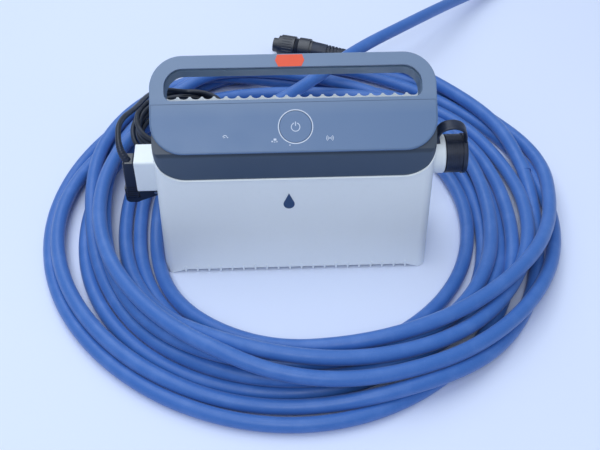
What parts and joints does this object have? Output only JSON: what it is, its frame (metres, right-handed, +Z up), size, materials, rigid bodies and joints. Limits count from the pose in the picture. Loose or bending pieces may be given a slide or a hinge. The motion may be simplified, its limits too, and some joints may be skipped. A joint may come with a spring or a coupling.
{
  "type": "pool cleaner power supply with floating cable",
  "caption": "Upright power supply of a pool cleaner with a sloping handle, standing in its loose coil of blue floating cable.",
  "frame": {"origin": "bottom centre of the unit's own box, without its cords and what is on them", "axes": "+X to the right of the unit seen from its front, +Y to its back, +Z up"},
  "size_m": [0.6139, 0.7484, 0.1945],
  "materials": {
    "case_white": "satin",
    "cover_grey": "fine texture",
    "panel_grey": "satin",
    "grip_grey": "satin",
    "light_plastic": "translucent",
    "status_lamp": "clear",
    "label_orange": "printed film",
    "badge_tone": "gloss",
    "black_plastic": "satin",
    "black_rubber": "matte",
    "lead_black": "satin",
    "cable_blue": "satin",
    "steel": "zinc plated",
    "plated_contact": "plated",
    "board_green": "solder mask",
    "switch_black": "matte",
    "spreader": "plain",
    "can_sleeve": "sleeve",
    "winding": "enamelled",
    "fuse_glass": "clear",
    "wire_cover": "satin"
  },
  "bodies": {
    "case": {"board_standoffs": "steel", "bridge_rectifier": "black_plastic", "bulk_capacitors": "can_sleeve", "button_light_guide": "light_plastic", "cable_boot": "black_rubber", "cable_connector": "black_plastic", "cap_strap": "black_rubber", "case_gasket": "black_rubber", "case_screws": "steel", "connector_contacts": "plated_contact", "control_board": "board_green", "control_panel": "panel_grey", "filter_choke": "winding", "floating_cable_coil": "cable_blue", "floating_cable_lead": "cable_blue", "floating_cable_tail": "cable_blue", "front_badge": "badge_tone", "front_shell": "case_white", "handle_frame": "panel_grey", "handle_grip": "grip_grey", "heat_spreader": "spreader", "indicator_windows": "light_plastic", "inlet_pins": "plated_contact", "inlet_shroud": "case_white", "internal_wires": "wire_cover", "main_board": "board_green", "mains_connector": "black_plastic", "mains_fuse": "fuse_glass", "mains_inlet": "black_plastic", "mains_lead": "lead_black", "mains_lead_coil": "lead_black", "mains_lead_end": "lead_black", "mains_lead_relief": "black_rubber", "mains_plug": "black_plastic", "mains_plug_pins": "plated_contact", "output_capacitors": "can_sleeve", "output_choke": "winding", "output_socket": "black_plastic", "power_transformer": "winding", "price_label": "label_orange", "rear_shell": "case_white", "retainer_pin": "steel", "ribbon_cable": "wire_cover", "rubber_feet": "black_rubber", "socket_collar": "case_white", "socket_contacts": "plated_contact", "socket_gasket": "black_rubber", "status_leds": "status_lamp", "swivel_housing": "black_plastic", "tact_switch": "switch_black", "upper_cover": "cover_grey"},
    "button": {"power_button": "panel_grey", "power_symbol": "light_plastic"},
    "clip": {"retainer_clip": "black_plastic"},
    "cap": {"dust_cap": "black_rubber"},
    "ring": {"coupling_ring": "black_plastic"},
    "swivel": {"swivel_plug": "black_plastic"}
  },
  "joints": [
    {"name": "button_press", "type": "slide", "parent": "case", "child": "button", "axis": [0, 0.6018, -0.7986], "range_m": [0, 0.0008], "stiffness_N_per_m": 500},
    {"name": "clip_swing", "type": "hinge", "parent": "case", "child": "clip", "pos_m": [-0.133, -0.0065, 0.072], "axis": [0, -1, 0], "range_deg": [0, 45]},
    {"name": "cap_pull", "type": "slide", "parent": "case", "child": "cap", "axis": [1, 0, 0], "range_m": [0, 0.012], "deforming": ["cap_strap"]},
    {"name": "ring_turn", "type": "hinge", "parent": "case", "child": "ring", "pos_m": [0.00202, 0.30296, 0.01416], "axis": [0.9609, -0.2769, -0.0022], "continuous": true},
    {"name": "swivel_turn", "type": "hinge", "parent": "case", "child": "swivel", "pos_m": [0.32977, 0.47975, 0.0092], "axis": [0.7504, 0.661, 0], "continuous": true}
  ]
}
